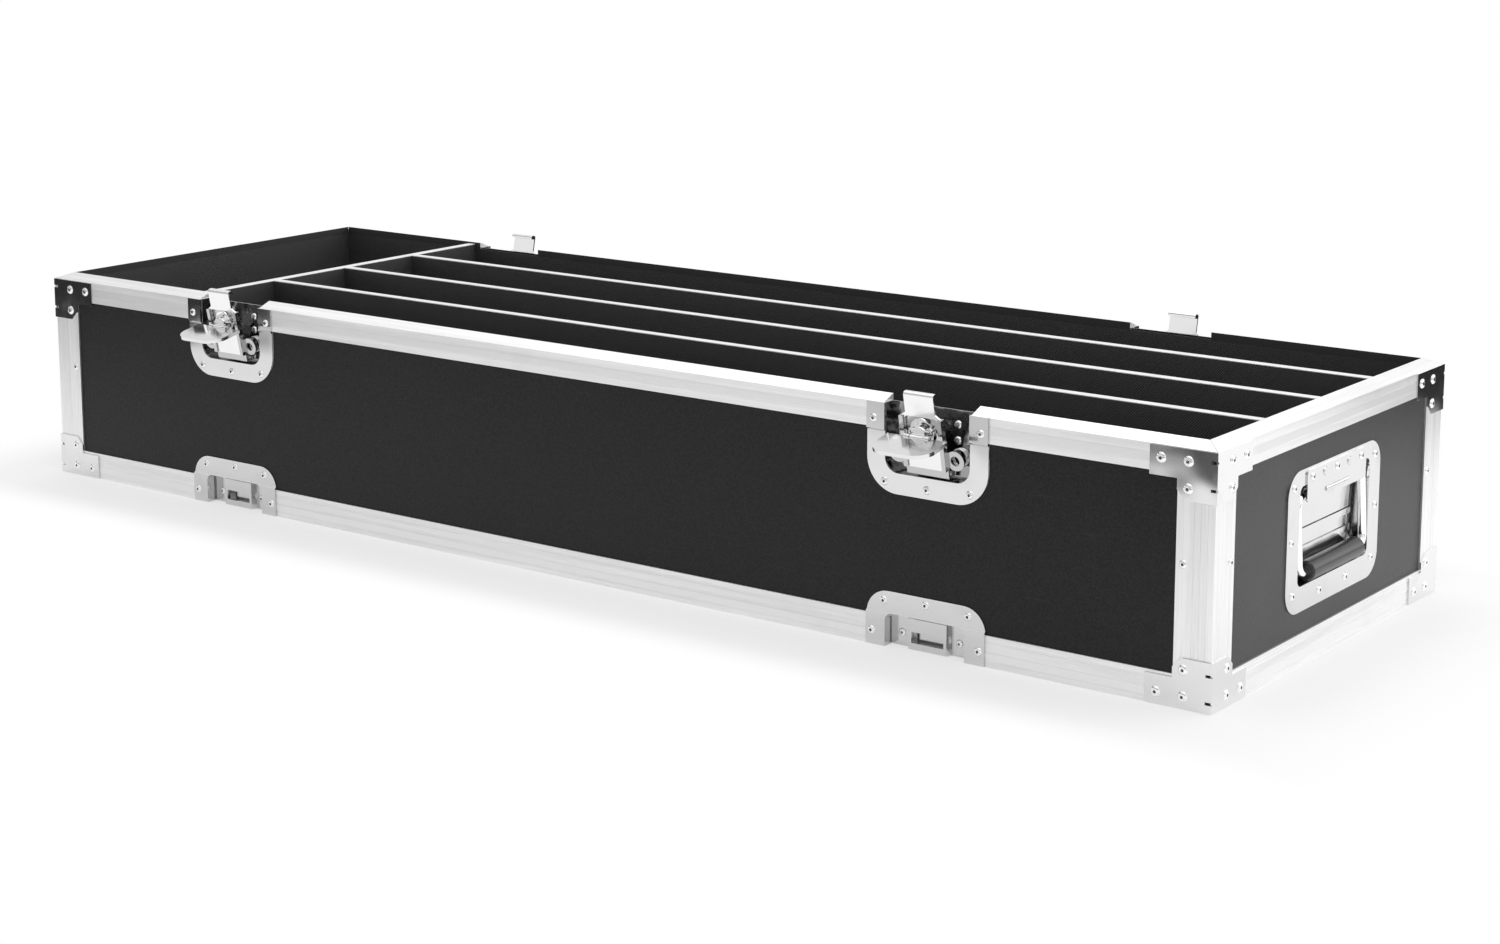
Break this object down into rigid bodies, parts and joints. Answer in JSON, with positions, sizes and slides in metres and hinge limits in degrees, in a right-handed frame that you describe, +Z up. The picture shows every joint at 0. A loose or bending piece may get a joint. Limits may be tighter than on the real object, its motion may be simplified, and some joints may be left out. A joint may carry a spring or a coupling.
{
  "type": "flight case tray",
  "caption": "Long low open-topped flight case with lengthwise dividers, recessed butterfly latches on the long sides, stacking keepers along the base and sprung handles on the ends.",
  "frame": {"origin": "middle of the underside, on the ground", "axes": "+X along the case towards its right end, +Y towards the back, +Z up"},
  "size_m": [1.27, 0.4916, 0.2086],
  "materials": {
    "panels": "black textured laminate",
    "extrusions": "satin ribbed",
    "fittings": "bright plated sheet",
    "latch_steel": "plated steel",
    "rivets": "plated domed rivets",
    "springs": "bright wire",
    "bails": "bright round bar",
    "grips": "black, slightly glossy",
    "lining": "dark fine woven texture",
    "dividers": "black faced board",
    "caps": "satin strip",
    "pads": "dark foam pad"
  },
  "bodies": {
    "case": {"base_angle_back": "extrusions", "base_angle_front": "extrusions", "base_angle_left": "extrusions", "base_angle_right": "extrusions", "corner_angle_back_left": "extrusions", "corner_angle_back_right": "extrusions", "corner_angle_front_left": "extrusions", "corner_angle_front_right": "extrusions", "corner_brackets": "fittings", "corner_rivets": "rivets", "divider_back": "dividers", "divider_caps": "caps", "divider_cross": "dividers", "divider_front": "dividers", "divider_middle": "dividers", "floor_pads": "pads", "handle_covers": "fittings", "handle_dish_left": "fittings", "handle_dish_right": "fittings", "handle_rivets": "rivets", "handle_springs": "springs", "keeper_bridges": "fittings", "keeper_dishes": "fittings", "latch_dish_back_left": "fittings", "latch_dish_back_right": "fittings", "latch_dish_front_left": "fittings", "latch_dish_front_right": "fittings", "latch_hinge_pins": "latch_steel", "latch_rivets": "rivets", "latch_springs": "springs", "panel_back": "panels", "panel_bottom": "panels", "panel_front": "panels", "panel_left": "panels", "panel_right": "panels", "rim_back": "extrusions", "rim_front": "extrusions", "rim_left": "extrusions", "rim_right": "extrusions", "wall_lining": "lining"},
    "carrier_front_left": {"latch_carrier_front_left": "latch_steel"},
    "hook_front_left": {"latch_hook_front_left": "latch_steel"},
    "spindle_front_left": {"latch_spindle_front_left": "latch_steel"},
    "wing_front_left": {"latch_wing_front_left": "latch_steel"},
    "carrier_front_right": {"latch_carrier_front_right": "latch_steel"},
    "hook_front_right": {"latch_hook_front_right": "latch_steel"},
    "spindle_front_right": {"latch_spindle_front_right": "latch_steel"},
    "wing_front_right": {"latch_wing_front_right": "latch_steel"},
    "carrier_back_left": {"latch_carrier_back_left": "latch_steel"},
    "hook_back_left": {"latch_hook_back_left": "latch_steel"},
    "spindle_back_left": {"latch_spindle_back_left": "latch_steel"},
    "wing_back_left": {"latch_wing_back_left": "latch_steel"},
    "carrier_back_right": {"latch_carrier_back_right": "latch_steel"},
    "hook_back_right": {"latch_hook_back_right": "latch_steel"},
    "spindle_back_right": {"latch_spindle_back_right": "latch_steel"},
    "wing_back_right": {"latch_wing_back_right": "latch_steel"},
    "bail_left": {"handle_bail_left": "bails", "handle_grip_left": "grips"},
    "bail_right": {"handle_bail_right": "bails", "handle_grip_right": "grips"}
  },
  "joints": [
    {"name": "tilt_front_left", "type": "hinge", "parent": "case", "child": "carrier_front_left", "pos_m": [-0.384, -0.194, 0.144], "axis": [-1, 0, 0], "range_deg": [0, 12], "stiffness_Nm_per_rad": 0.4, "springref_deg": -17.19},
    {"name": "turn_front_left", "type": "hinge", "parent": "carrier_front_left", "child": "spindle_front_left", "pos_m": [-0.384, -0.20771, 0.17482], "axis": [0, -0.9781, -0.2079], "range_deg": [0, 180]},
    {"name": "draw_front_left", "type": "slide", "parent": "carrier_front_left", "child": "hook_front_left", "axis": [0, 0.2079, -0.9781], "range_m": [0, 0.007]},
    {"name": "fold_front_left", "type": "hinge", "parent": "spindle_front_left", "child": "wing_front_left", "pos_m": [-0.384, -0.21436, 0.17341], "axis": [-1, 0, 0], "range_deg": [0, 90]},
    {"name": "tilt_front_right", "type": "hinge", "parent": "case", "child": "carrier_front_right", "pos_m": [0.384, -0.194, 0.144], "axis": [-1, 0, 0], "range_deg": [0, 12], "stiffness_Nm_per_rad": 0.4, "springref_deg": -17.19},
    {"name": "turn_front_right", "type": "hinge", "parent": "carrier_front_right", "child": "spindle_front_right", "pos_m": [0.384, -0.20771, 0.17482], "axis": [0, -0.9781, -0.2079], "range_deg": [0, 180]},
    {"name": "draw_front_right", "type": "slide", "parent": "carrier_front_right", "child": "hook_front_right", "axis": [0, 0.2079, -0.9781], "range_m": [0, 0.007]},
    {"name": "fold_front_right", "type": "hinge", "parent": "spindle_front_right", "child": "wing_front_right", "pos_m": [0.384, -0.21436, 0.17341], "axis": [-1, 0, 0], "range_deg": [0, 90]},
    {"name": "tilt_back_left", "type": "hinge", "parent": "case", "child": "carrier_back_left", "pos_m": [0.384, 0.194, 0.144], "axis": [1, 0, 0], "range_deg": [0, 12], "stiffness_Nm_per_rad": 0.4, "springref_deg": -17.19},
    {"name": "turn_back_left", "type": "hinge", "parent": "carrier_back_left", "child": "spindle_back_left", "pos_m": [0.384, 0.20771, 0.17482], "axis": [0, 0.9781, -0.2079], "range_deg": [0, 180]},
    {"name": "draw_back_left", "type": "slide", "parent": "carrier_back_left", "child": "hook_back_left", "axis": [0, -0.2079, -0.9781], "range_m": [0, 0.007]},
    {"name": "fold_back_left", "type": "hinge", "parent": "spindle_back_left", "child": "wing_back_left", "pos_m": [0.384, 0.21436, 0.17341], "axis": [1, 0, 0], "range_deg": [0, 90]},
    {"name": "tilt_back_right", "type": "hinge", "parent": "case", "child": "carrier_back_right", "pos_m": [-0.384, 0.194, 0.144], "axis": [1, 0, 0], "range_deg": [0, 12], "stiffness_Nm_per_rad": 0.4, "springref_deg": -17.19},
    {"name": "turn_back_right", "type": "hinge", "parent": "carrier_back_right", "child": "spindle_back_right", "pos_m": [-0.384, 0.20771, 0.17482], "axis": [0, 0.9781, -0.2079], "range_deg": [0, 180]},
    {"name": "draw_back_right", "type": "slide", "parent": "carrier_back_right", "child": "hook_back_right", "axis": [0, -0.2079, -0.9781], "range_m": [0, 0.007]},
    {"name": "fold_back_right", "type": "hinge", "parent": "spindle_back_right", "child": "wing_back_right", "pos_m": [-0.384, 0.21436, 0.17341], "axis": [1, 0, 0], "range_deg": [0, 90]},
    {"name": "lift_handle_left", "type": "hinge", "parent": "case", "child": "bail_left", "pos_m": [-0.6237, 0, 0.131], "axis": [0, 1, 0], "range_deg": [0, 90], "stiffness_Nm_per_rad": 0.08, "springref_deg": -68.75},
    {"name": "lift_handle_right", "type": "hinge", "parent": "case", "child": "bail_right", "pos_m": [0.6237, 0, 0.131], "axis": [0, -1, 0], "range_deg": [0, 90], "stiffness_Nm_per_rad": 0.08, "springref_deg": -68.75}
  ],
  "couplings": [
    {"joint": "draw_front_left", "follows": "turn_front_left", "m_per_rad": 0.002228},
    {"joint": "draw_front_right", "follows": "turn_front_right", "m_per_rad": 0.002228},
    {"joint": "draw_back_left", "follows": "turn_back_left", "m_per_rad": 0.002228},
    {"joint": "draw_back_right", "follows": "turn_back_right", "m_per_rad": 0.002228}
  ]
}
